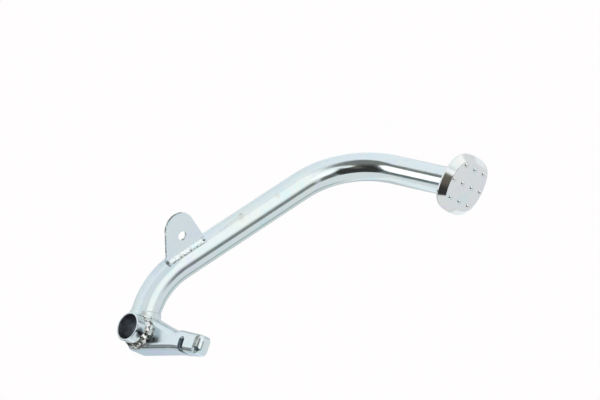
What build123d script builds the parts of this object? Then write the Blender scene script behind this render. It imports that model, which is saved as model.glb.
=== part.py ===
"""Motorcycle foot lever (rear brake pedal): a welded steel assembly.

Frame, in millimetres: the origin is on the pivot axis, at the middle of the pivot tube.
+Y runs along the pivot axis towards the machine, +X is forward along the lever, +Z is up.
The lever, the arm and the foot pad are welded to one another and swing together on the pivot shaft.
"""

import os
from math import asin, cos, radians, sin, sqrt

from build123d import *

# Lever and pivot tubes
TUBE_OD = 22.2
TUBE_WALL = 1.5
TUBE_RADIUS = TUBE_OD / 2
BORE_RADIUS = TUBE_RADIUS - TUBE_WALL
PIVOT_LENGTH = 36.0
PIVOT_EDGE_BREAK = 0.3
BEND_RADIUS = 70.0

# Centre line of the lever: its foot on the arm, two bend corners, and the foot pad it ends under
LEVER_FOOT = Vector(13.7, 0.0, -9.3)
INNER_CORNER = Vector(38.0, -3.0, -18.5)
OUTER_CORNER = Vector(184.0, -115.5, -18.5)
PAD_CENTRE = Vector(207.5, -162.5, 70.0)
TRIM_ALLOWANCE = 10.0

# Pressed channel arm: a wide eye round the pivot and a narrow arm that leans forward
ARM_SHEET = 2.5
ARM_DEPTH = 17.0
ARM_FACE_Y = 5.3
ARM_RIM_Y = ARM_FACE_Y - ARM_DEPTH
ARM_BEND = 4.8
ARM_LEAN = 13.0
ARM_LENGTH = 68.0
ARM_HALF_WIDTH = 7.4
NECK_ALONG = 37.0
NECK_HALF_WIDTH = 6.3
SHOULDER_ALONG = 41.5
SHOULDER_HALF_WIDTH = 8.0
END_FLANGE_DEPTH = 10.3
FLANGE_RUN_OUT = 24.0
EYE_FRONT = LEVER_FOOT.X
EYE_DROP = 18.0
EYE_CORNER = 8.0

# Back plate: a flat sheet set inside the channel, which closes it behind the slot
PLATE_SHEET = 2.0
PLATE_FACE_Y = -2.6
PLATE_CLEARANCE = 0.05
PLATE_BOTTOM = 15.0

# Slot and corner hole at the free end of the arm
SLOT_ALONG = 48.3
SLOT_WIDTH = 5.4
SLOT_LENGTH = 24.0
SLOT_TOP = 3.0
SLOT_DEPTH = 10.0
CORNER_HOLE_DIAMETER = 5.0
CORNER_HOLE_ACROSS = -4.4

# Switch tab: a flat ear on the inboard side of the lever
TAB_SHEET = 2.0
TAB_RISE = 3.2
TAB_ALONG = 29.6
TAB_BASE = 37.0
TAB_SKEW = 1.0
TAB_TOP_RADIUS = 12.5
TAB_REACH = 43.6
TAB_HOLE_REACH = 24.4
TAB_HOLE_DIAMETER = 7.2

# Foot pad: a pressed cup with raised studs
PAD_LENGTH = 47.4
PAD_WIDTH = 45.0
PAD_SIDE = 40.0
PAD_CORNER = 15.0
PAD_OFFSET = (-0.6, 0.1)
PAD_DEPTH = 6.2
PAD_SHEET = 2.0
PAD_BEVEL = 4.7
PAD_EDGE = 0.8
STUD_RADIUS = 2.1
STUD_HEIGHT = 1.35
STUD_PITCH = 10.4
STUD_ROW_PITCH = 13.5
STUD_ROWS = (3, 4, 3)

# Legs of the weld beads
RING_LEG_ON_TUBE = 6.0
RING_LEG_ON_ARM = 2.6
RIM_LEG = 3.0
FOOT_LEG = 0.8
TAB_LEG = 2.8
PAD_LEG = 3.0


def arm_point(along, across):
    """A point of the arm as (x, z), from its place along and across the leaning centre line."""
    lean = radians(ARM_LEAN)
    return (along * sin(lean) + across * cos(lean), along * cos(lean) - across * sin(lean))


# Directions of the lever's straight runs, and its end on the underside of the pad
FOOT_RUN = (INNER_CORNER - LEVER_FOOT).normalized()
MIDDLE_RUN = (OUTER_CORNER - INNER_CORNER).normalized()
PAD_RUN = (PAD_CENTRE - OUTER_CORNER).normalized()
PAD_UNDERSIDE = PAD_CENTRE.Z - PAD_SHEET

# Planes and directions of the arm
ARM_FACE = Plane.XZ.offset(-ARM_FACE_Y)
ARM_UP = Vector(sin(radians(ARM_LEAN)), 0, cos(radians(ARM_LEAN)))
ARM_ACROSS = Vector(cos(radians(ARM_LEAN)), 0, -sin(radians(ARM_LEAN)))
ARM_SIDE = Plane(origin=(0, 0, 0), x_dir=ARM_UP, z_dir=ARM_ACROSS)

# Outer outline of the arm, rear corner first, with the radius of each corner
ARM_OUTLINE = {
    (-17.1, -5.4): 6.0,
    arm_point(38.7, -8.0): 60.0,
    arm_point(ARM_LENGTH, -ARM_HALF_WIDTH): 4.5,
    arm_point(ARM_LENGTH, ARM_HALF_WIDTH): 4.5,
    arm_point(SHOULDER_ALONG, SHOULDER_HALF_WIDTH): 5.0,
    arm_point(NECK_ALONG, NECK_HALF_WIDTH): 5.0,
    (EYE_FRONT, 11.0): 60.0,
    (EYE_FRONT, -EYE_DROP): EYE_CORNER,
    (-1.1, -EYE_DROP): EYE_CORNER,
}

# Envelope of the arm: its outer shape filled solid, which trims what is welded to it
with BuildPart() as arm_envelope:
    with BuildSketch(ARM_FACE):
        with BuildLine():
            FilletPolyline(*ARM_OUTLINE.keys(), radius=list(ARM_OUTLINE.values()), close=True)
        make_face()
    extrude(amount=ARM_DEPTH)
    fillet(arm_envelope.faces().sort_by(Axis.Y)[-1].edges(), radius=ARM_BEND)

# Envelope of the pivot tube, without its bore
with BuildPart() as pivot_envelope:
    with BuildSketch(Plane.XZ):
        Circle(TUBE_RADIUS)
    extrude(amount=PIVOT_LENGTH / 2, both=True)

# Centre line of the lever, run on at both ends so that they can be cut to their neighbours
with BuildLine() as lever_line:
    FilletPolyline(
        LEVER_FOOT - FOOT_RUN * TRIM_ALLOWANCE,
        INNER_CORNER,
        OUTER_CORNER,
        PAD_CENTRE + PAD_RUN * TRIM_ALLOWANCE,
        radius=BEND_RADIUS,
    )
LEVER_START = Plane(origin=lever_line.line @ 0, z_dir=lever_line.line % 0)

# Envelope of the lever: the bent bar without its bore, cut to the arm, the pivot tube and the pad
with BuildPart() as lever_envelope:
    with BuildSketch(LEVER_START):
        Circle(TUBE_RADIUS)
    sweep(path=lever_line.line)
    split(bisect_by=Plane.YZ.offset(TUBE_RADIUS + PIVOT_EDGE_BREAK), keep=Keep.TOP)
    split(bisect_by=Plane.XY.offset(PAD_UNDERSIDE), keep=Keep.BOTTOM)
    add(arm_envelope.part, mode=Mode.SUBTRACT)

with BuildPart() as lever_bore:
    with BuildSketch(LEVER_START):
        Circle(BORE_RADIUS)
    sweep(path=lever_line.line)

# Pivot tube: the sleeve that turns on the pivot shaft
with BuildPart() as pivot_tube:
    add(pivot_envelope.part)
    with BuildSketch(Plane.XZ):
        Circle(BORE_RADIUS)
    extrude(amount=PIVOT_LENGTH / 2, both=True, mode=Mode.SUBTRACT)
    chamfer(pivot_tube.edges().filter_by(GeomType.CIRCLE), length=PIVOT_EDGE_BREAK)

# Lever tube: the bent tube from the arm to the foot pad
with BuildPart() as lever_tube:
    add(lever_envelope.part)
    add(lever_bore.part, mode=Mode.SUBTRACT)

# Arm bracket: a pressed channel, open outboard, with a slot and a corner hole at its free end
HOLE_CENTRE = ARM_UP * (ARM_LENGTH - ARM_BEND / 2) + ARM_ACROSS * CORNER_HOLE_ACROSS
HOLE_PLANE = Plane(origin=HOLE_CENTRE + Vector(0, ARM_FACE_Y, 0), z_dir=ARM_UP + Vector(0, 1, 0))

with BuildPart() as arm_bracket:
    add(arm_envelope.part)
    offset(amount=-ARM_SHEET, openings=arm_bracket.faces().sort_by(Axis.Y)[0])
    add(pivot_envelope.part, mode=Mode.SUBTRACT)
    with BuildSketch(ARM_FACE):
        with Locations(arm_point(SLOT_ALONG, SLOT_TOP - SLOT_LENGTH / 2)):
            SlotOverall(SLOT_LENGTH, SLOT_WIDTH, rotation=-ARM_LEAN)
    extrude(amount=SLOT_DEPTH, mode=Mode.SUBTRACT)
    with BuildSketch(ARM_SIDE):
        with BuildLine():
            Polyline(
                (ARM_LENGTH - FLANGE_RUN_OUT, ARM_DEPTH - ARM_FACE_Y),
                (ARM_LENGTH - ARM_BEND, END_FLANGE_DEPTH - ARM_FACE_Y),
                (ARM_LENGTH + 1, END_FLANGE_DEPTH - ARM_FACE_Y),
                (ARM_LENGTH + 1, ARM_DEPTH - ARM_FACE_Y),
                close=True,
            )
        make_face()
    extrude(amount=ARM_DEPTH, both=True, mode=Mode.SUBTRACT)
    with BuildSketch(HOLE_PLANE):
        Circle(CORNER_HOLE_DIAMETER / 2)
    extrude(amount=ARM_BEND, both=True, mode=Mode.SUBTRACT)

# Back plate of the arm, between the flanges of the channel
with BuildPart() as arm_back_plate:
    with BuildSketch(Plane.XZ.offset(-PLATE_FACE_Y)):
        with BuildLine():
            FilletPolyline(*ARM_OUTLINE.keys(), radius=list(ARM_OUTLINE.values()), close=True)
        make_face()
        offset(amount=-(ARM_SHEET + PLATE_CLEARANCE), mode=Mode.REPLACE)
    extrude(amount=PLATE_SHEET)
    split(bisect_by=Plane.XY.offset(PLATE_BOTTOM), keep=Keep.TOP)

# Switch tab: a flat ear standing on the inboard side of the lever, with one hole
TAB_CENTRE = INNER_CORNER + MIDDLE_RUN * TAB_ALONG
INBOARD = Vector(-MIDDLE_RUN.Y, MIDDLE_RUN.X, 0)
TAB_PLANE = Plane(
    origin=TAB_CENTRE + Vector(0, 0, TAB_RISE - TAB_SHEET / 2),
    x_dir=MIDDLE_RUN,
    z_dir=(0, 0, 1),
)

with BuildPart() as switch_tab:
    with BuildSketch(TAB_PLANE):
        with Locations((TAB_SKEW, TAB_REACH - TAB_TOP_RADIUS)):
            Circle(TAB_TOP_RADIUS)
        with Locations((0, TUBE_RADIUS / 2)):
            Rectangle(TAB_BASE, TUBE_RADIUS)
        make_hull()
        with Locations((TAB_SKEW, TAB_HOLE_REACH)):
            Circle(TAB_HOLE_DIAMETER / 2, mode=Mode.SUBTRACT)
    extrude(amount=TAB_SHEET)
    add(lever_envelope.part, mode=Mode.SUBTRACT)

# Foot pad: a pressed cup, open underneath, with rows of raised studs
STUD_SPHERE = (STUD_RADIUS**2 + STUD_HEIGHT**2) / (2 * STUD_HEIGHT)

with BuildPart() as stud:
    with Locations((0, 0, STUD_HEIGHT - STUD_SPHERE)):
        Sphere(STUD_SPHERE)
    split(bisect_by=Plane.XY.offset(-PAD_SHEET / 2), keep=Keep.TOP)

PAD_SIDE_SHIFTS = (
    (PAD_SIDE - PAD_LENGTH / 2, 0),
    (PAD_LENGTH / 2 - PAD_SIDE, 0),
    (0, PAD_SIDE - PAD_WIDTH / 2),
    (0, PAD_WIDTH / 2 - PAD_SIDE),
)

with BuildPart() as foot_pad:
    with BuildSketch(Plane(PAD_CENTRE + Vector(*PAD_OFFSET, 0))) as pad_outline:
        Rectangle(2 * PAD_SIDE, 2 * PAD_SIDE)
        for shift in PAD_SIDE_SHIFTS:
            with Locations(shift):
                Circle(PAD_SIDE, mode=Mode.INTERSECT)
        fillet(pad_outline.vertices(), radius=PAD_CORNER)
    extrude(amount=-PAD_DEPTH)
    chamfer(foot_pad.faces().sort_by(Axis.Z)[-1].edges(), length=PAD_BEVEL)
    fillet(foot_pad.faces().sort_by(Axis.Z)[-1].edges(), radius=PAD_EDGE)
    offset(amount=-PAD_SHEET, openings=foot_pad.faces().sort_by(Axis.Z)[0])
    for row, studs in enumerate(STUD_ROWS):
        row_x = (row - 1) * STUD_ROW_PITCH
        for column in range(studs):
            row_y = (column - (studs - 1) / 2) * STUD_PITCH
            with Locations(PAD_CENTRE + Vector(row_x, row_y, 0)):
                add(stud.part)

# Pivot weld, outer: the bead round the pivot tube on the face of the arm
with BuildPart() as pivot_weld_outer:
    with BuildSketch(Plane.XY):
        with BuildLine():
            Polyline(
                (TUBE_RADIUS, ARM_FACE_Y - ARM_BEND / 2),
                (TUBE_RADIUS, ARM_FACE_Y + RING_LEG_ON_TUBE),
                (TUBE_RADIUS + RING_LEG_ON_ARM, ARM_FACE_Y),
                (TUBE_RADIUS + RING_LEG_ON_ARM, ARM_FACE_Y - ARM_BEND / 2),
                close=True,
            )
        make_face()
    revolve(axis=Axis.Y)
    add(arm_envelope.part, mode=Mode.SUBTRACT)
    add(lever_envelope.part, mode=Mode.SUBTRACT)

# Pivot weld, inner: the bead between the pivot tube and the open rim of the eye
with BuildPart() as pivot_weld_inner:
    with BuildSketch(Plane.XY):
        with BuildLine():
            Polyline(
                (TUBE_RADIUS, ARM_RIM_Y),
                (TUBE_RADIUS + RIM_LEG, ARM_RIM_Y),
                (TUBE_RADIUS, ARM_RIM_Y - RIM_LEG),
                close=True,
            )
        make_face()
    revolve(axis=Axis.Y)
    split(bisect_by=Plane.XY.rotated((0, ARM_LEAN, 0)), keep=Keep.BOTTOM)

# Lever foot weld: the bead round the foot of the lever, down onto the arm and the pivot tube
FOOT_PLANE = Plane(origin=LEVER_FOOT - FOOT_RUN * FOOT_LEG / 2, z_dir=FOOT_RUN + Vector(0, 0.22, 0))

with BuildPart() as lever_foot_weld:
    with BuildSketch(FOOT_PLANE.offset(-TRIM_ALLOWANCE)):
        Circle(TUBE_RADIUS + FOOT_LEG)
    extrude(amount=TRIM_ALLOWANCE)
    with BuildSketch(FOOT_PLANE):
        Circle(TUBE_RADIUS + FOOT_LEG)
    extrude(amount=FOOT_LEG, taper=45)
    split(bisect_by=Plane.YZ.offset(EYE_FRONT - ARM_BEND), keep=Keep.TOP)
    add(arm_envelope.part, mode=Mode.SUBTRACT)
    add(pivot_envelope.part, mode=Mode.SUBTRACT)
    add(pivot_weld_outer.part, mode=Mode.SUBTRACT)
    add(pivot_weld_inner.part, mode=Mode.SUBTRACT)
    add(lever_envelope.part, mode=Mode.SUBTRACT)


def tab_weld(side):
    """A bead along one face of the tab, the upper one for side 1 and the lower one for side -1."""
    face_rise = TAB_RISE + side * TAB_SHEET / 2
    root_angle = asin(face_rise / TUBE_RADIUS)
    toe_angle = root_angle + side * TAB_LEG / TUBE_RADIUS
    root = sqrt(TUBE_RADIUS**2 - face_rise**2)
    with BuildPart() as bead:
        with BuildSketch(Plane(origin=TAB_CENTRE, x_dir=INBOARD, z_dir=MIDDLE_RUN)):
            with BuildLine():
                Polyline(
                    (root + TAB_LEG, face_rise),
                    (TUBE_RADIUS * cos(toe_angle), TUBE_RADIUS * sin(toe_angle)),
                    (root - TAB_LEG / 2, face_rise),
                    close=True,
                )
            make_face()
        extrude(amount=TAB_BASE / 2, both=True)
        add(lever_envelope.part, mode=Mode.SUBTRACT)
    return bead


tab_weld_upper = tab_weld(1)
tab_weld_lower = tab_weld(-1)

# Pad weld: the bead round the end of the lever on the underside of the pad
PAD_WELD_PLANE = Plane(
    origin=PAD_CENTRE - PAD_RUN * (PAD_SHEET / PAD_RUN.Z),
    x_dir=(PAD_RUN.X, PAD_RUN.Y, 0),
    z_dir=(0, 0, -1),
)

with BuildPart() as pad_weld:
    with BuildSketch(PAD_WELD_PLANE):
        Ellipse(TUBE_RADIUS / PAD_RUN.Z + PAD_LEG, TUBE_RADIUS + PAD_LEG)
    extrude(amount=PAD_LEG)
    chamfer(pad_weld.faces().sort_by(Axis.Z)[0].edges(), length=0.8 * PAD_LEG)
    add(lever_envelope.part, mode=Mode.SUBTRACT)

pieces = {
    "pivot_tube": pivot_tube,
    "lever_tube": lever_tube,
    "arm_bracket": arm_bracket,
    "arm_back_plate": arm_back_plate,
    "switch_tab": switch_tab,
    "foot_pad": foot_pad,
    "pivot_weld_outer": pivot_weld_outer,
    "pivot_weld_inner": pivot_weld_inner,
    "lever_foot_weld": lever_foot_weld,
    "tab_weld_upper": tab_weld_upper,
    "tab_weld_lower": tab_weld_lower,
    "pad_weld": pad_weld,
}

os.makedirs("parts", exist_ok=True)
for name, piece in pieces.items():
    piece.part.label = name
    export_step(piece.part, f"parts/{name}.step")
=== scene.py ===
"""Looks of the welded, zinc plated foot lever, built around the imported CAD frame.

Metres, +Z up. The camera and the studio come first, then the plating of every CAD node, and last
the rippled weld beads that stand in for the plain CAD welds.
"""
import math

import bmesh
import bpy
from mathutils import Euler, Matrix, Vector, noise
from mathutils.bvhtree import BVHTree


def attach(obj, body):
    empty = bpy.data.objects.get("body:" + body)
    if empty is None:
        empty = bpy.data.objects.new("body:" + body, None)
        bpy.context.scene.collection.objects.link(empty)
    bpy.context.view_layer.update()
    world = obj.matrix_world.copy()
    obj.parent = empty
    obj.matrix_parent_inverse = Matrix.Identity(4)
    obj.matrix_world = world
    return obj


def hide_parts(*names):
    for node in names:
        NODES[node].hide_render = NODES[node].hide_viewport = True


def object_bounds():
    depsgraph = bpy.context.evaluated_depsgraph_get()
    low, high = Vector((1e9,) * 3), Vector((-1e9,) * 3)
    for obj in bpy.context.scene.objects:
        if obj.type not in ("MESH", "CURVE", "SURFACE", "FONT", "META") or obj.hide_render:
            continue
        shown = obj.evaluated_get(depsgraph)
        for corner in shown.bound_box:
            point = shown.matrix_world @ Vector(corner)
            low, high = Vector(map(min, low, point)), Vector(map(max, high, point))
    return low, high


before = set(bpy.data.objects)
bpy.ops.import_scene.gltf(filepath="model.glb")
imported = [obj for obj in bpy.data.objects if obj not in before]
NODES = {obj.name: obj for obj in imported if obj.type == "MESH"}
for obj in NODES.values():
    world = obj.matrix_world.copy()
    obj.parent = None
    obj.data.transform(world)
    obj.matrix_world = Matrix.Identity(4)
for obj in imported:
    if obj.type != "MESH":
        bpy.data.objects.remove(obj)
CAD_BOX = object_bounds()
MM = 0.001


# ---------------------------------------------------------------- helpers
def rgb(r, g, b):
    return (r, g, b, 1.0)


def scaled(colour, factors):
    """The colour with each channel multiplied by its own factor."""
    return rgb(*(c * k for c, k in zip(colour, factors)))


class Tree:
    """Short ways to add nodes to a node tree."""

    def __init__(self, tree):
        self.tree = tree
        tree.nodes.clear()

    def add(self, kind, **props):
        node = self.tree.nodes.new(kind)
        for key, value in props.items():
            setattr(node, key, value)
        return node

    def put(self, socket, value):
        if isinstance(value, bpy.types.NodeSocket):
            self.tree.links.new(value, socket)
        elif value is not None:
            socket.default_value = value

    def math(self, op, a, b=None, clamp=False):
        node = self.add("ShaderNodeMath", operation=op, use_clamp=clamp)
        self.put(node.inputs[0], a)
        self.put(node.inputs[1], b)
        return node.outputs[0]

    def vmath(self, op, a, b=None):
        node = self.add("ShaderNodeVectorMath", operation=op)
        self.put(node.inputs[0], a)
        self.put(node.inputs[1], b)
        gives_number = op in ("LENGTH", "DOT_PRODUCT", "DISTANCE")
        return node.outputs["Value"] if gives_number else node.outputs[0]

    def power(self, value, exponent):
        return self.math("POWER", self.math("ABSOLUTE", value), exponent)

    def ramp(self, value, lo, hi, a=0.0, b=1.0):
        """A smooth step from a at lo to b at hi."""
        node = self.add("ShaderNodeMapRange", interpolation_type="SMOOTHSTEP")
        self.put(node.inputs["Value"], value)
        for name, number in (("From Min", lo), ("From Max", hi), ("To Min", a), ("To Max", b)):
            self.put(node.inputs[name], number)
        return node.outputs[0]

    def mix(self, fac, a, b):
        node = self.add("ShaderNodeMix", data_type="RGBA")
        self.put(node.inputs[0], fac)
        self.put(node.inputs[6], a)
        self.put(node.inputs[7], b)
        return node.outputs[2]

    def noise(self, vector, scale, detail, rough, distortion=0.0):
        node = self.add("ShaderNodeTexNoise")
        self.put(node.inputs["Vector"], vector)
        self.put(node.inputs["Scale"], scale)
        self.put(node.inputs["Detail"], detail)
        self.put(node.inputs["Roughness"], rough)
        self.put(node.inputs["Distortion"], distortion)
        return node.outputs["Fac"]

    def parts(self, vector):
        node = self.add("ShaderNodeSeparateXYZ")
        self.put(node.inputs[0], vector)
        return node.outputs

    def place(self):
        return self.add("ShaderNodeTexCoord").outputs["Object"]

    def normal(self):
        return self.add("ShaderNodeNewGeometry").outputs["True Normal"]

    def surface(self, kind, shader):
        self.put(self.add(kind).inputs["Surface"], shader.outputs[0])


def new_material(name):
    material = bpy.data.materials.new(name)
    material.use_nodes = True
    return material, Tree(material.node_tree)


def new_object(name, data):
    made = bpy.data.objects.new(name, data)
    bpy.context.scene.collection.objects.link(made)
    return made


def staged_quad(name, corners, material):
    """One flat sheet of the studio, which isn't part of the object."""
    mesh = bpy.data.meshes.new(name)
    mesh.from_pydata(corners, [], [(0, 1, 2, 3)])
    mesh.materials.append(material)
    sheet = new_object(name, mesh)
    return sheet


def hide_from(sheet, *rays):
    for ray in rays:
        setattr(sheet, "visible_" + ray, False)


def towards(azimuth, elevation):
    """Unit vector; azimuth 0 is +Y and 90 is +X, elevation is above the horizon, in degrees."""
    a, e = math.radians(azimuth), math.radians(elevation)
    return Vector((math.sin(a) * math.cos(e), math.cos(a) * math.cos(e), math.sin(e)))


# ---------------------------------------------------------------- camera
CAMERA_PLACE = Vector((0.1640, 1.3511, 1.6015))
CAMERA_TURN = (-22.396, -36.219, -56.052)
CAMERA_LENS = 168.8

camera_data = bpy.data.cameras.new("camera")
camera_data.lens = CAMERA_LENS
camera_data.sensor_width = 36.0
camera_data.clip_end = 20.0
camera = new_object("camera", camera_data)
camera.location = CAMERA_PLACE
camera.rotation_euler = Euler([math.radians(a) for a in CAMERA_TURN], "XYZ")
bpy.context.scene.camera = camera
bpy.context.scene.view_settings.view_transform = "Standard"

# ---------------------------------------------------------------- room
# What the room shows the metal, each patch over the ones above it:
# azimuth, elevation, half width and half height in degrees, roll, softness, brightness
ROOM_PATCHES = (
    (-167, 4, 32, 17, 0, 0.35, rgb(0.52, 0.60, 0.58)),  # low wall behind
    (72, 34, 19, 34, 0, 0.5, rgb(1.30, 1.29, 1.25)),  # large soft box at the side
    (46, 42, 16, 9, 0, 0.3, rgb(1.25, 1.25, 1.22)),  # its upper edge
    (23, 13, 24, 22, 0, 0.30, rgb(0.24, 0.245, 0.225)),  # brown area below it
    (-2, 40, 17, 26, 0, 0.30, rgb(0.12, 0.115, 0.10)),  # soft edge of the dark wall
    (-26, 44, 25, 34, 0, 0.16, rgb(0.045, 0.044, 0.043)),  # dark wall
    (-4, 45, 11, 6, 0, 0.7, rgb(0.16, 0.15, 0.115)),  # glow that the pad's bevel shows
    (15, 43, 5, 6, 0, 0.3, rgb(1.3, 1.3, 1.28)),  # spark that the pad's bevel shows
    (-42, 14, 8, 8, 0, 0.4, rgb(0.16, 0.19, 0.195)),  # dark spot low in front
    (-60, 86, 14, 11, 0, 0.4, rgb(0.16, 0.165, 0.15)),  # dark ceiling
    (139, 68, 10.0, 11, 0, 0.5, rgb(0.29, 0.30, 0.285)),  # grey strip high behind
    (44, 60, 13, 12, 20, 0.30, rgb(1.5, 1.5, 1.48)),  # key box
    (-13, 11.5, 20, 9, 0, 0.12, rgb(1.7, 1.7, 1.7)),  # front box
)
ROOM_WALLS = rgb(0.93, 0.95, 0.96)
BACKDROP = rgb(1.0, 0.985, 0.99)
PATCH_SQUARENESS = 2.4
SMALLEST_DEPTH = 0.001

world = bpy.data.worlds.new("studio")
world.use_nodes = True
bpy.context.scene.world = world
room = Tree(world.node_tree)
ray_way = room.add("ShaderNodeTexCoord").outputs["Generated"]
room_colour = ROOM_WALLS
for azimuth, elevation, half_width, half_height, roll, softness, colour in ROOM_PATCHES:
    middle = towards(azimuth, elevation)
    side = Vector((middle.y, -middle.x, 0.0)).normalized()
    top = side.cross(middle) * -1.0
    if top.z < 0:
        top = -top
    turn = Matrix.Rotation(math.radians(roll), 3, middle)
    depth = room.math("MAXIMUM", room.vmath("DOT_PRODUCT", ray_way, tuple(middle)), SMALLEST_DEPTH)
    reach = []
    for axis, half_angle in ((turn @ side, half_width), (turn @ top, half_height)):
        offset = room.math("DIVIDE", room.vmath("DOT_PRODUCT", ray_way, tuple(axis)), depth)
        offset = room.math("DIVIDE", offset, math.tan(math.radians(half_angle)))
        reach.append(room.power(offset, PATCH_SQUARENESS))
    reach = room.math("SQRT", room.math("ADD", *reach))
    inside = room.ramp(reach, 1.0 + softness, 1.0 - softness)
    room_colour = room.mix(inside, room_colour, colour)
is_camera = room.add("ShaderNodeLightPath").outputs["Is Camera Ray"]
room_colour = room.mix(is_camera, room_colour, BACKDROP)
background = room.add("ShaderNodeBackground")
room.put(background.inputs["Color"], room_colour)
room.surface("ShaderNodeOutputWorld", background)

# ---------------------------------------------------------------- floor and card
# Two sheets make the floor: the camera sees a lit one, and the metal sees a matt one a hair below
# it, which is darker behind with painted shadow. Beside the arm the matt one has soft dark sectors
# of painted shadow round the pivot's mouth: azimuth, half width, strength.
FLOOR_HALF = 30.0
LIT_DROP, MATT_DROP = 0.0002, 0.0004
FLOOR_LINE, FLOOR_WAY = (0.038, -0.003, 0.0), (0.610, 0.792, 0.0)
FRONT_EDGE, BACK_EDGE = (-0.03, 0.01), (-0.20, -0.12)
FLOOR_SHADES = ((-44, 8, 0.80), (-62, 16, 0.35), (-76, 12, 0.75))
SHADE_PLACE = (0.0, 0.005, 0.0)
SHADE_NEAR, SHADE_FAR = 0.030, 0.190
SHADE_SOFT_OUT, SHADE_SOFT_IN = 1.3, 0.7
SHADE_COLOUR = rgb(0.04, 0.04, 0.04)


def floor_sheet(name, drop, albedo, glow, glow_behind, glow_front, shades=()):
    material, t = new_material(name)
    place = t.place()
    across = t.vmath("DOT_PRODUCT", t.vmath("SUBTRACT", place, FLOOR_LINE), FLOOR_WAY)
    near_side = t.ramp(across, *FRONT_EDGE, glow_behind, glow_front)
    far_side = t.ramp(across, *BACK_EDGE, glow_front, glow_behind)
    strength = t.math("MAXIMUM", near_side, far_side)
    for azimuth, half_width, shade_depth in shades:
        away = t.vmath("SUBTRACT", t.vmath("MULTIPLY", place, (1, 1, 0)), SHADE_PLACE)
        length = t.vmath("LENGTH", away)
        along = t.math("DIVIDE", t.vmath("DOT_PRODUCT", away, tuple(towards(azimuth, 0))), length)
        outer = math.cos(math.radians(half_width * SHADE_SOFT_OUT))
        inner = math.cos(math.radians(half_width * SHADE_SOFT_IN))
        past_near = t.ramp(length, SHADE_NEAR * SHADE_SOFT_IN, SHADE_NEAR)
        before_far = t.ramp(length, SHADE_FAR, SHADE_FAR * SHADE_SOFT_IN)
        in_range = t.math("MULTIPLY", past_near, before_far)
        inside = t.math("MULTIPLY", t.ramp(along, outer, inner), in_range)
        keep = t.math("SUBTRACT", 1.0, t.math("MULTIPLY", inside, shade_depth))
        strength = t.math("MULTIPLY", strength, keep)
        albedo = t.mix(keep, SHADE_COLOUR, albedo)
    shader = t.add("ShaderNodeBsdfPrincipled")
    t.put(shader.inputs["Base Color"], albedo)
    t.put(shader.inputs["Roughness"], 1.0)
    t.put(shader.inputs["Specular IOR Level"], 0.0)
    t.put(shader.inputs["Emission Color"], glow)
    t.put(shader.inputs["Emission Strength"], strength)
    t.surface("ShaderNodeOutputMaterial", shader)
    z, half = CAD_BOX[0][2] - drop, FLOOR_HALF
    corners = [(-half, -half, z), (half, -half, z), (half, half, z), (-half, half, z)]
    return staged_quad(name, corners, material)


lit_floor = floor_sheet("floor_lit", LIT_DROP, rgb(0.0, 0.0, 0.0), BACKDROP, 1.0, 1.0)
hide_from(lit_floor, "diffuse", "glossy", "transmission", "shadow")
matt_floor = floor_sheet(
    "floor_matt", MATT_DROP, rgb(0.82, 0.84, 0.85), rgb(0.94, 0.97, 1.0), 0.10, 0.50, FLOOR_SHADES
)
hide_from(matt_floor, "camera")

# A white card stands beside the foot of the lever, and only the metal sees it
CARD_PLACE = Vector((0.087, 0.077, 0.012))
CARD_HALF = (0.064, 0.041)
CARD_AZIMUTH = math.radians(38)
card_side = Vector((math.cos(CARD_AZIMUTH), -math.sin(CARD_AZIMUTH), 0)) * CARD_HALF[0]
card_top = Vector((0, 0, CARD_HALF[1]))
card_material, t = new_material("card")
card_light = t.add("ShaderNodeEmission")
t.put(card_light.inputs["Color"], rgb(0.93, 0.97, 1.0))
t.surface("ShaderNodeOutputMaterial", card_light)
card_corners = [
    tuple(CARD_PLACE + card_side * a + card_top * b) for a, b in ((-1, -1), (1, -1), (1, 1), (-1, 1))
]
hide_from(
    staged_quad("card", card_corners, card_material), "camera", "diffuse", "transmission", "shadow"
)

# ---------------------------------------------------------------- plating
# Noise fields of the plating: scale per metre, detail, roughness, distortion
BLOOM = (28.0, 3.0, 0.6)
CLOUD = (75.0, 4.0, 0.65, 0.4)
SPECK = (900.0, 2.0, 0.6)
GLOSS_PATCHES = (160.0, 3.0, 0.6)
GRAIN = (1400.0, 2.0, 0.5)
WAVE = (60.0, 2.0, 0.5)
WEAR = (1100.0, 3.0, 0.7, 0.8)
SOOT_AND_REFLECTION_NOISE = (500.0, 3.0, 0.6)
STRAW = (190.0, 3.0, 0.6, 0.5)
REFLECTION_CLOUDS = (95.0, 2.0, 0.5)
CRUST = (340.0, 3.0, 0.6, 0.6)
REFLECTION_BAND_NOISE = (420.0, 3.0, 0.6)
EDGE_REFLECTION_NOISE = (380.0, 3.0, 0.7)
STREAK = (220.0, 3.0, 0.7)

# What a bloom of the plate does to its colour
YELLOWED, VIOLET, CYAN, PALE = (1.03, 1.01, 0.97), (0.98, 0.93, 1.04), (0.86, 1.0, 1.04), 1.07
BUMP_STRENGTH, BUMP_HEIGHT = 0.35, 0.3 * MM

# Colours of wear, heat and dirt on the plate, and of the painted reflections on it
WORN_BROWN = rgb(0.46, 0.40, 0.33)
SOOT_AND_REFLECTION_BLACK = rgb(0.04, 0.045, 0.05)
STRAW_TINT = rgb(0.60, 0.53, 0.38)
REFLECTION_CYAN, REFLECTION_VIOLET = rgb(0.52, 0.72, 0.80), rgb(0.60, 0.66, 0.84)
CRUST_BLACK = rgb(0.045, 0.043, 0.038)
PAINTED_REFLECTION_OLIVE = rgb(0.18, 0.185, 0.15)
EDGE_REFLECTION_DARK = rgb(0.10, 0.10, 0.075)
OXIDE_DARK, OXIDE_PALE = rgb(0.20, 0.20, 0.215), rgb(0.34, 0.37, 0.42)


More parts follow.
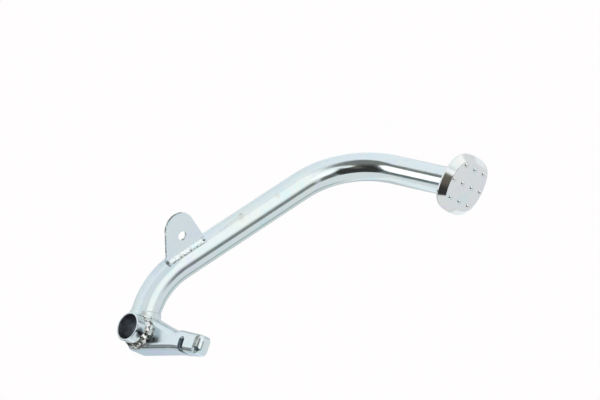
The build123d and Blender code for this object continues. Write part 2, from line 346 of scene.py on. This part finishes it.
def scuffed(spots):
    """Worn brownish spots: place, reach and strength of each."""

    def treat(t, place, tint, rough):
        for where, reach, strength in spots:
            near = t.ramp(t.vmath("DISTANCE", place, tuple(where)), reach, reach * 0.3)
            worn = t.ramp(t.noise(place, *WEAR), 0.40, 0.56)
            amount = t.math("MULTIPLY", t.math("MULTIPLY", near, worn), strength)
            tint = t.mix(amount, tint, WORN_BROWN)
        return tint, rough

    return treat


def soot_and_painted_reflection(spots):
    """Dark spots, for weld soot and for painted dark reflections beside the ring bead: place, reach
    and strength of each.
    """

    def treat(t, place, tint, rough):
        for where, reach, strength in spots:
            near = t.ramp(t.vmath("DISTANCE", place, tuple(where)), reach, reach * 0.35)
            patchy = t.ramp(t.noise(place, *SOOT_AND_REFLECTION_NOISE), 0.30, 0.55, 0.75, 1.0)
            amount = t.math("MULTIPLY", t.math("MULTIPLY", near, patchy), strength)
            tint = t.mix(amount, tint, SOOT_AND_REFLECTION_BLACK)
        return tint, rough

    return treat


def gilded(strength):
    """Straw coloured heat tint in patches."""

    def treat(t, place, tint, rough):
        straw = t.ramp(t.noise(place, *STRAW), 0.50, 0.62)
        return t.mix(t.math("MULTIPLY", straw, strength), tint, STRAW_TINT), rough

    return treat


def reflection_tinted(way):
    """Painted cyan and violet reflection on the faces that look one way."""

    def treat(t, place, tint, rough):
        facing = t.vmath("DOT_PRODUCT", t.normal(), way)
        clouds = t.ramp(t.noise(place, *REFLECTION_CLOUDS), 0.40, 0.60)
        reflected_tint = t.mix(clouds, REFLECTION_CYAN, REFLECTION_VIOLET)
        return t.mix(t.ramp(facing, 0.80, 0.97), tint, reflected_tint), rough

    return treat


def crusted(strength):
    """Dark crust in the hollows of a coarse bead, more of it to the rear."""

    def treat(t, place, tint, rough):
        rear = t.ramp(t.parts(place)[0], 5 * MM, -6 * MM, 0.0, 0.12)
        crust = t.math("ADD", t.noise(place, *CRUST), rear)
        amount = t.math("MULTIPLY", t.ramp(crust, 0.54, 0.60), strength)
        return t.mix(amount, tint, CRUST_BLACK), rough

    return treat


def painted_reflection_band(way, start, end):
    """A painted olive reflection in a band across the front face, from start to end along one way."""

    def treat(t, place, tint, rough):
        along = t.vmath("DOT_PRODUCT", place, way)
        past_start = t.ramp(along, start - 0.5 * MM, start + 0.4 * MM)
        before_end = t.ramp(along, end + 0.4 * MM, end - 0.3 * MM)
        patchy = t.ramp(t.noise(place, *REFLECTION_BAND_NOISE), 0.32, 0.62, 0.50, 0.95)
        in_front = t.ramp(t.parts(t.normal())[1], 0.3, 0.8)
        band = t.math("MULTIPLY", t.math("MULTIPLY", past_start, before_end), patchy)
        return t.mix(t.math("MULTIPLY", band, in_front), tint, PAINTED_REFLECTION_OLIVE), rough

    return treat


def polished_above(height):
    """A glossier surface above a height, where boots rub the studs."""

    def treat(t, place, tint, rough):
        rubbed = t.ramp(t.parts(place)[2], height, height + 0.3 * MM)
        gloss = t.math("SUBTRACT", 1.0, t.math("MULTIPLY", rubbed, 0.7))
        return tint, t.math("MULTIPLY", rough, gloss)

    return treat


def edge_reflection_painted(strength):
    """Painted dark reflection on the upright faces of a sheet, in patches."""

    def treat(t, place, tint, rough):
        side = t.ramp(t.math("ABSOLUTE", t.parts(t.normal())[2]), 0.75, 0.35)
        patchy_edge = t.ramp(t.noise(place, *EDGE_REFLECTION_NOISE), 0.42, 0.56, 0.20, 1.0)
        amount = t.math("MULTIPLY", t.math("MULTIPLY", side, patchy_edge), strength)
        return t.mix(amount, tint, EDGE_REFLECTION_DARK), rough

    return treat


def dark_bored(bore_radius):
    """Dull, dark plate within a radius of the pivot axis."""

    def treat(t, place, tint, rough):
        parts = t.parts(place)
        radius = t.math("SQRT", t.math("ADD", t.power(parts[0], 2.0), t.power(parts[2], 2.0)))
        inner = t.math("LESS_THAN", radius, bore_radius)
        streak = t.ramp(t.noise(place, *STREAK), 0.4, 0.65)
        oxide = t.mix(streak, OXIDE_DARK, OXIDE_PALE)
        dull = t.math("ADD", rough, t.math("MULTIPLY", inner, 0.30), clamp=True)
        return t.mix(inner, tint, oxide), dull

    return treat


def zinc(name, colour, roughness, spread, grain, wave, *treatments, metallic=1.0):
    """Bright zinc plate: bluish metal with faint blooms, fine grain and a slightly wavy face."""
    material, t = new_material(name)
    place = t.place()
    cloud = t.noise(place, *CLOUD)
    yellow = t.ramp(t.noise(place, *BLOOM), 0.35, 0.52)
    tint = t.mix(yellow, scaled(colour, YELLOWED), rgb(*colour))
    violet = t.math("MULTIPLY", t.ramp(cloud, 0.54, 0.68), 0.8)
    tint = t.mix(violet, tint, scaled(colour, VIOLET))
    cyan = t.math("MULTIPLY", t.ramp(cloud, 0.46, 0.34), 0.6)
    tint = t.mix(cyan, tint, scaled(colour, CYAN))
    pale = t.math("MULTIPLY", t.ramp(t.noise(place, *SPECK), 0.55, 0.75), 0.35)
    tint = t.mix(pale, tint, rgb(*(min(1.0, c * PALE) for c in colour)))
    patches = t.noise(place, *GLOSS_PATCHES)
    rough = t.ramp(patches, 0.3, 0.7, roughness - spread, roughness + spread)
    for treat in treatments:
        tint, rough = treat(t, place, tint, rough)
    height = t.math("MULTIPLY", t.noise(place, *GRAIN), grain)
    height = t.math("ADD", height, t.math("MULTIPLY", t.noise(place, *WAVE), wave))
    bump = t.add("ShaderNodeBump")
    t.put(bump.inputs["Strength"], BUMP_STRENGTH)
    t.put(bump.inputs["Distance"], BUMP_HEIGHT)
    t.put(bump.inputs["Height"], height)
    shader = t.add("ShaderNodeBsdfPrincipled")
    t.put(shader.inputs["Base Color"], tint)
    t.put(shader.inputs["Metallic"], metallic)
    t.put(shader.inputs["Roughness"], rough)
    t.put(shader.inputs["Normal"], bump.outputs[0])
    t.surface("ShaderNodeOutputMaterial", shader)
    return material


TUBE_TINT = (0.64, 0.71, 0.73)
SCUFF_START = Vector((0.0962, -0.0353, -0.0139))
SCUFF_END = Vector((0.1102, -0.0454, -0.0150))
TUBE_SCUFFS = (
    *((SCUFF_START.lerp(SCUFF_END, k / 7), 1.2 * MM, 0.75) for k in range(7)),
    (SCUFF_END, 2.6 * MM, 0.95),
    ((0.1085, -0.0450, -0.0128), 4.0 * MM, 0.35),
    ((0.1357, -0.0669, -0.0121), 3.0 * MM, 0.45),
    ((0.0930, -0.0335, -0.0140), 2.2 * MM, 0.35),
)
# Painted dark reflections of the ring bead on the arm's face beside it
ARM_PAINTED_REFLECTION = (
    ((-0.0008, 0.0053, 0.0160), 4.2 * MM, 0.90),
    ((-0.0045, 0.0053, 0.0150), 3.0 * MM, 0.55),
)
# Painted dark reflections of the ring bead on the pivot tube beside it
PIVOT_PAINTED_REFLECTION = (
    ((-0.0014, 0.0133, 0.0110), 3.6 * MM, 0.92),
    ((0.0014, 0.0142, 0.0110), 4.0 * MM, 0.75),
)
WELD_SOOT = (
    ((0.0538, -0.0002, -0.0135), 3.0 * MM, 0.92),
    ((0.0830, -0.0235, -0.0135), 1.2 * MM, 0.70),
)
ARM_UP = (0.225, 0.0, 0.974)
# The arm's faces that look this way get a painted cyan reflection
ARM_REAR = (-0.974, 0.0, 0.225)
# Where the painted olive reflection lies along the arm, just before its end fold
ARM_REFLECTION_BAND = (61.8 * MM, 64.8 * MM)
STUD_FOOT = 70.1 * MM
PIVOT_BORE = 10.0 * MM

TUBE_ZINC = zinc("zinc_tube", TUBE_TINT, 0.12, 0.03, 0.10, 0.5, scuffed(TUBE_SCUFFS))
PRESSED_ZINC = zinc(
    "zinc_pressing", (0.64, 0.71, 0.735), 0.20, 0.05, 0.25, 0.6,
    soot_and_painted_reflection(ARM_PAINTED_REFLECTION), reflection_tinted(ARM_REAR), painted_reflection_band(ARM_UP, *ARM_REFLECTION_BAND),
)
# The tab's upright edges carry a painted dark reflection
TAB_ZINC = zinc("zinc_tab", (0.66, 0.735, 0.775), 0.20, 0.05, 0.20, 0.6, edge_reflection_painted(0.85))
PLATE_ZINC = zinc("zinc_back_plate", (0.76, 0.88, 0.96), 0.55, 0.05, 0.25, 0.6, metallic=0.3)
PAD_ZINC = zinc("zinc_pad", (0.70, 0.715, 0.72), 0.11, 0.03, 0.12, 0.4, polished_above(STUD_FOOT))
PIVOT_ZINC = zinc(
    "zinc_pivot", TUBE_TINT, 0.10, 0.03, 0.10, 0.5, soot_and_painted_reflection(PIVOT_PAINTED_REFLECTION), dark_bored(PIVOT_BORE)
)
RING_WELD_ZINC = zinc(
    "zinc_ring_weld", (0.70, 0.73, 0.72), 0.06, 0.02, 0.1, 0.3, gilded(0.6), crusted(0.92)
)
FOOT_ZINC = zinc("zinc_foot_weld", (0.66, 0.73, 0.75), 0.36, 0.05, 0.3, 0.8)
WELD_ZINC = zinc("zinc_weld", (0.67, 0.735, 0.75), 0.13, 0.05, 0.3, 0.8, soot_and_painted_reflection(WELD_SOOT))

FINISH = {
    "pivot_tube": PIVOT_ZINC,
    "lever_tube": TUBE_ZINC,
    "arm_bracket": PRESSED_ZINC,
    "arm_back_plate": PLATE_ZINC,
    "switch_tab": TAB_ZINC,
    "foot_pad": PAD_ZINC,
    "lever_foot_weld": FOOT_ZINC,
}
for name, node in NODES.items():
    node.data.materials.clear()
    node.data.materials.append(FINISH.get(name, WELD_ZINC))

# ---------------------------------------------------------------- weld beads
# A bead's section has steps across its face and its back. All of it is sunk into the joint a
# little, the back lies deeper, the ends taper over a length, and each ripple bows along the bead.
TUBE_RADIUS = 11.1 * MM
FACE_STEPS, BACK_STEPS = 22, 5
SUNK = 0.12 * MM
BACK_DEPTH = 0.35 * MM
END_LENGTH = 1.4 * MM
RIPPLE_CURVE = 0.42
# Noise that makes each toe uneven: coarse and fine, each with its size and its shift
TOE_A_NOISE = ((3.6 * MM, 3.1), (1.6 * MM, 5.7))
TOE_B_NOISE = ((3.4 * MM, 9.4), (1.6 * MM, 1.3))
FINE_SHARE, LUMP_SHARE = 0.3, 0.8


def toe_reach(at, seed, ragged, fields):
    """How far out a toe lies there, as a factor near 1."""
    coarse, fine = (noise.noise(at / size + Vector((seed, shift, -seed))) for size, shift in fields)
    return 1 + ragged * coarse + FINE_SHARE * ragged * fine


def bead_ring(station, s, total, closed, seed, crown, pitch, ripple, ragged, knobs, lump_size):
    """One cross section of a bead, s along it: its rippled face, then its back inside the joint."""
    toe_a, toe_b, root = station
    middle = (toe_a + toe_b) / 2
    out = (middle - root).normalized()
    turns = max(1, round(total / pitch))
    taper = 1.0
    if not closed:
        end = min(s, total - s) / END_LENGTH
        taper = math.sqrt(max(0.02, 1 - (1 - min(1.0, end)) ** 2))
    a = root + (toe_a - root) * (taper * toe_reach(middle, seed, ragged, TOE_A_NOISE))
    b = root + (toe_b - root) * (taper * toe_reach(middle, seed, ragged, TOE_B_NOISE))
    width = (a - b).length
    ring = []
    for k in range(FACE_STEPS + 1):
        u = k / FACE_STEPS
        arch = 4 * u * (1 - u)
        phase = (s / total * turns + RIPPLE_CURVE * arch) * math.pi
        height = taper * crown * arch
        height += ripple * taper * abs(math.sin(phase)) * arch ** 0.5
        flat = a.lerp(b, u)
        lump = noise.noise(flat / lump_size + Vector((seed, 0, 0)))
        height += ragged * LUMP_SHARE * lump_size * lump * taper * arch ** 0.7
        for knob_s, knob_u, reach, tall in knobs:
            away = math.hypot(s - knob_s * total, (u - knob_u) * width)
            height += tall * math.exp(-((away / reach) ** 2)) * min(1.0, 3 * arch)
        ring.append(flat + out * (height - SUNK))
    inner = root - out * BACK_DEPTH
    for k in range(1, BACK_STEPS + 1):
        u = k / (BACK_STEPS + 1)
        point = b.lerp(inner, u * 2) if u <= 0.5 else inner.lerp(a, u * 2 - 1)
        ring.append(point - out * SUNK)
    return ring


def skin(rings, closed):
    """A closed surface over the rings, with flat ends where the bead has ends."""
    build = bmesh.new()
    made = [[build.verts.new(p) for p in ring] for ring in rings]
    size = len(made[0])
    for k in range(len(made) if closed else len(made) - 1):
        one, two = made[k], made[(k + 1) % len(made)]
        for q in range(size):
            build.faces.new((one[q], one[(q + 1) % size], two[(q + 1) % size], two[q]))
    if not closed:
        build.faces.new(made[0][::-1])
        build.faces.new(made[-1])
    bmesh.ops.recalc_face_normals(build, faces=build.faces)
    for face in build.faces:
        face.smooth = True
    return build


def bead(name, node, stations, finish, seed, crown, pitch, ripple, ragged,
         closed=False, knobs=(), lump_size=1.5 * MM):
    """A closed, rippled bead that replaces a weld node. A station is (toe, other toe, root).

    A knob is a lump on the bead's face: its place along and across from 0 to 1, reach and height.
    """
    middles = [(toe_a + toe_b) / 2 for toe_a, toe_b, _ in stations]
    run = [0.0]
    for k in range(1, len(middles)):
        run.append(run[-1] + (middles[k] - middles[k - 1]).length)
    total = run[-1] + ((middles[0] - middles[-1]).length if closed else 0.0)
    rings = [
        bead_ring(station, s, total, closed, seed, crown, pitch, ripple, ragged, knobs, lump_size)
        for station, s in zip(stations, run)
    ]
    mesh = bpy.data.meshes.new(name)
    build = skin(rings, closed)
    build.to_mesh(mesh)
    build.free()
    mesh.materials.append(finish)
    piece = new_object(name, mesh)
    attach(piece, "root")
    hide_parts(node)


# Ring bead round the pivot tube on the face of the arm, small where the lever's foot stands
ARM_FACE_Y = 5.3 * MM
ARM_RIM_Y = -11.7 * MM
ARM_LEAN = math.radians(13.0)
FOLD_DROP = 2.4 * MM
LEVER_ANGLE = math.atan2(-9.3, 13.7)
RING_STEPS = 360
RING_LEG_ON_ARM, RING_LEG_ON_TUBE = 2.6 * MM, 5.2 * MM
RING_SMALLEST, RING_CLEAR_ANGLE, RING_GROW_ANGLE = 0.35, 0.60, 0.45
ROOT_DEPTH = 1.0 * MM
arm_tree = BVHTree.FromObject(NODES["arm_bracket"], bpy.context.evaluated_depsgraph_get())


def round_pivot(angle, radius, y):
    return Vector((radius * math.cos(angle), y, radius * math.sin(angle)))


def arm_height(point):
    """How high the arm's face stands under a point, or a little down its fold past its edge."""
    hit = arm_tree.ray_cast(Vector((point.x, 0.02, point.z)), Vector((0, -1, 0)), 0.03)[0]
    lowest = ARM_FACE_Y - FOLD_DROP
    return max(hit.y, lowest) if hit else lowest


def ring_station(angle):
    off_lever = abs((angle - LEVER_ANGLE + math.pi) % math.tau - math.pi)
    grown = min(1.0, max(0.0, (off_lever - RING_CLEAR_ANGLE) / RING_GROW_ANGLE))
    size = RING_SMALLEST + (1 - RING_SMALLEST) * grown
    toe = round_pivot(angle, TUBE_RADIUS + RING_LEG_ON_ARM * size, 0)
    toe.y = arm_height(toe)
    root = round_pivot(angle, TUBE_RADIUS, min(ARM_FACE_Y, toe.y + ROOT_DEPTH))
    return round_pivot(angle, TUBE_RADIUS, ARM_FACE_Y + RING_LEG_ON_TUBE * size), toe, root


bead(
    "pivot_weld_outer_bead", "pivot_weld_outer",
    [ring_station(math.tau * k / RING_STEPS) for k in range(RING_STEPS)], RING_WELD_ZINC,
    seed=4.0, crown=0.9 * MM, pitch=3.0 * MM, ripple=0.30 * MM, ragged=0.30,
    closed=True, lump_size=2.4 * MM,
)

# Bead between the pivot tube and the open rim of the arm's eye
RIM_STEPS = 190
RIM_LEG = 2.8 * MM


def rim_station(angle):
    root = round_pivot(angle, TUBE_RADIUS, ARM_RIM_Y)
    return root + Vector((0, -RIM_LEG, 0)), round_pivot(angle, TUBE_RADIUS + RIM_LEG, ARM_RIM_Y), root


bead(
    "pivot_weld_inner_bead", "pivot_weld_inner",
    [rim_station(-ARM_LEAN - math.pi * k / (RIM_STEPS - 1)) for k in range(RIM_STEPS)], WELD_ZINC,
    seed=11.0, crown=0.3 * MM, pitch=1.9 * MM, ripple=0.2 * MM, ragged=0.15,
)

# Beads along both faces of the switch tab
INNER_CORNER = Vector((38.0, -3.0, -18.5)) * MM
OUTER_CORNER = Vector((184.0, -115.5, -18.5)) * MM
PAD_CENTRE = Vector((207.5, -162.5, 70.0)) * MM
MIDDLE_RUN = (OUTER_CORNER - INNER_CORNER).normalized()
INBOARD = Vector((-MIDDLE_RUN.y, MIDDLE_RUN.x, 0))
TAB_CENTRE = INNER_CORNER + MIDDLE_RUN * 29.6 * MM
TAB_RISE, TAB_HALF_SHEET = 3.2, 1.0
TAB_HALF_BASE = 18.5 * MM
TAB_LEG = 2.8 * MM
TAB_STEPS = 150


def tab_stations(side):
    """Stations along the upper face of the tab for side 1, and along the lower one for side -1."""
    rise = (TAB_RISE + side * TAB_HALF_SHEET) * MM
    root_angle = math.asin(rise / TUBE_RADIUS)
    toe_angle = root_angle + side * TAB_LEG / TUBE_RADIUS

    def on_tube(centre, angle):
        up = Vector((0, 0, TUBE_RADIUS * math.sin(angle)))
        return centre + INBOARD * (TUBE_RADIUS * math.cos(angle)) + up

    stations = []
    for k in range(TAB_STEPS):
        centre = TAB_CENTRE + MIDDLE_RUN * (TAB_HALF_BASE * (2 * k / (TAB_STEPS - 1) - 1))
        root = on_tube(centre, root_angle)
        stations.append((root + INBOARD * TAB_LEG, on_tube(centre, toe_angle), root))
    return stations


TAB_KNOBS = (
    (0.03, 0.80, 1.4 * MM, 1.1 * MM),
    (0.96, 0.35, 1.5 * MM, 0.9 * MM),
    (0.90, 0.80, 0.8 * MM, 0.5 * MM),
)
bead(
    "tab_weld_upper_bead", "tab_weld_upper", tab_stations(1), WELD_ZINC,
    seed=21.0, crown=0.35 * MM, pitch=3.1 * MM, ripple=0.16 * MM, ragged=0.14, knobs=TAB_KNOBS,
)
bead(
    "tab_weld_lower_bead", "tab_weld_lower", tab_stations(-1), WELD_ZINC,
    seed=31.0, crown=0.3 * MM, pitch=2.2 * MM, ripple=0.2 * MM, ragged=0.15,
)

# Bead round the end of the lever, on the underside of the pad
PAD_RUN = (PAD_CENTRE - OUTER_CORNER).normalized()
PAD_SHEET = 2.0 * MM
PAD_WELD_LEG = 2.8 * MM
PAD_STEPS = 300
pad_side = PAD_RUN.orthogonal().normalized()
pad_other = PAD_RUN.cross(pad_side)


def pad_station(angle):
    radial = pad_side * math.cos(angle) + pad_other * math.sin(angle)
    point = PAD_CENTRE + radial * TUBE_RADIUS
    root = point - PAD_RUN * ((point.z - (PAD_CENTRE.z - PAD_SHEET)) / PAD_RUN.z)
    outward = Vector((radial.x, radial.y, 0)).normalized()
    return root - PAD_RUN * PAD_WELD_LEG, root + outward * PAD_WELD_LEG, root


bead(
    "pad_weld_bead", "pad_weld",
    [pad_station(math.tau * k / PAD_STEPS) for k in range(PAD_STEPS)], WELD_ZINC,
    seed=41.0, crown=0.3 * MM, pitch=2.2 * MM, ripple=0.22 * MM, ragged=0.18, closed=True,
)
